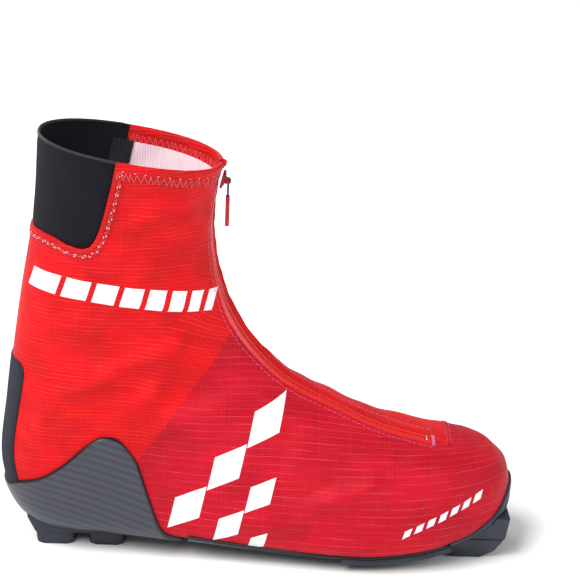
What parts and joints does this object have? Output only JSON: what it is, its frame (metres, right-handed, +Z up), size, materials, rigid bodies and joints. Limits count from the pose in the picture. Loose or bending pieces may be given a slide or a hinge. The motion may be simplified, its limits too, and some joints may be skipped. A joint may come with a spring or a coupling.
{
  "type": "cross country boot",
  "caption": "Right cross country ski boot: zipped softshell gaiter with an elastic cuff over a laced inner boot, on a carbon sole and heel cup with a toe binding bar.",
  "frame": {"origin": "centre of the binding bar under the toe", "axes": "+X towards the toe, +Y towards the medial side of this right boot and along the binding bar, +Z up; the boot stands on z = -0.008"},
  "size_m": [0.2885, 0.0975, 0.234],
  "materials": {
    "steel": "ground",
    "rubber_black": "moulded, matt",
    "plastic_black": "fine moulded grain",
    "carbon": "twill carbon under satin resin",
    "board": "fibreboard",
    "foam_black": "knit over foam",
    "inner_fabric": "brushed knit",
    "stiffener": "pressed sheet",
    "softshell_lateral": "ripstop softshell, printed",
    "softshell_medial": "ripstop softshell",
    "elastic_black": "neoprene jersey",
    "seam_tape": "woven tape",
    "hem_red": "folded hem, zigzag stitched",
    "lining_white": "brushed lining",
    "stay_black": "coated webbing",
    "zip_tape": "coated tape",
    "zip_coil": "moulded coil",
    "flap_red": "woven",
    "lace_black": "braided cord",
    "webbing_black": "woven webbing",
    "plastic_red": "moulded, satin",
    "painted_red": "enamelled"
  },
  "bodies": {
    "boot": {"binding_bar": "steel", "toe_block": "plastic_black", "forefoot_tread": "rubber_black", "sole_plate": "carbon", "heel_cup": "carbon", "heel_base": "plastic_black", "heel_lug_rear": "rubber_black", "heel_lug_front": "rubber_black", "toe_rand": "rubber_black", "lasting_board": "board", "footbed": "foam_black", "inner_boot": "inner_fabric", "ankle_pads": "foam_black", "tongue": "inner_fabric", "toe_puff": "stiffener", "outer_lateral": "softshell_lateral", "outer_medial": "softshell_medial", "elastic_cuff": "elastic_black", "cuff_seam_tape": "seam_tape", "collar_hem_lateral": "hem_red", "collar_hem_medial": "hem_red", "shaft_lining": "lining_white", "heel_stay": "stay_black", "zip_tape_lateral": "zip_tape", "zip_tape_medial": "zip_tape", "zip_coil_lateral": "zip_coil", "zip_coil_medial": "zip_coil", "zip_top_stops": "steel", "zip_bottom_stop": "steel", "zip_garage": "zip_tape", "storm_flap": "flap_red", "lace": "lace_black", "lace_loops_lateral": "webbing_black", "lace_loops_medial": "webbing_black", "lace_grip": "plastic_black"},
    "zip_slider": {"zip_slider": "painted_red"},
    "zip_pull": {"pull_link": "steel", "pull_tab": "plastic_red"},
    "lace_lock": {"lace_lock_body": "plastic_black", "lace_lock_spring": "steel"},
    "lock_button": {"lace_lock_button": "plastic_red"}
  },
  "joints": [
    {"name": "zip_travel", "type": "hinge", "parent": "boot", "child": "zip_slider", "pos_m": [-0.0499, -0.00443, 0.1767], "axis": [0, -0.995, 0.0995], "range_deg": [0, 84]},
    {"name": "pull_swing", "type": "hinge", "parent": "zip_slider", "child": "zip_pull", "pos_m": [-0.14596, -0.00205, 0.20053], "axis": [0, -0.995, 0.0995], "range_deg": [-6, 160]},
    {"name": "lock_travel", "type": "hinge", "parent": "boot", "child": "lace_lock", "pos_m": [-0.049, -0.0025, 0.179], "axis": [0, 1, 0], "range_deg": [0, 8]},
    {"name": "lock_button_press", "type": "slide", "parent": "lace_lock", "child": "lock_button", "axis": [0, -1, 0], "range_m": [0, 0.002], "stiffness_N_per_m": 400, "deforming": ["lace_lock_spring"]}
  ]
}
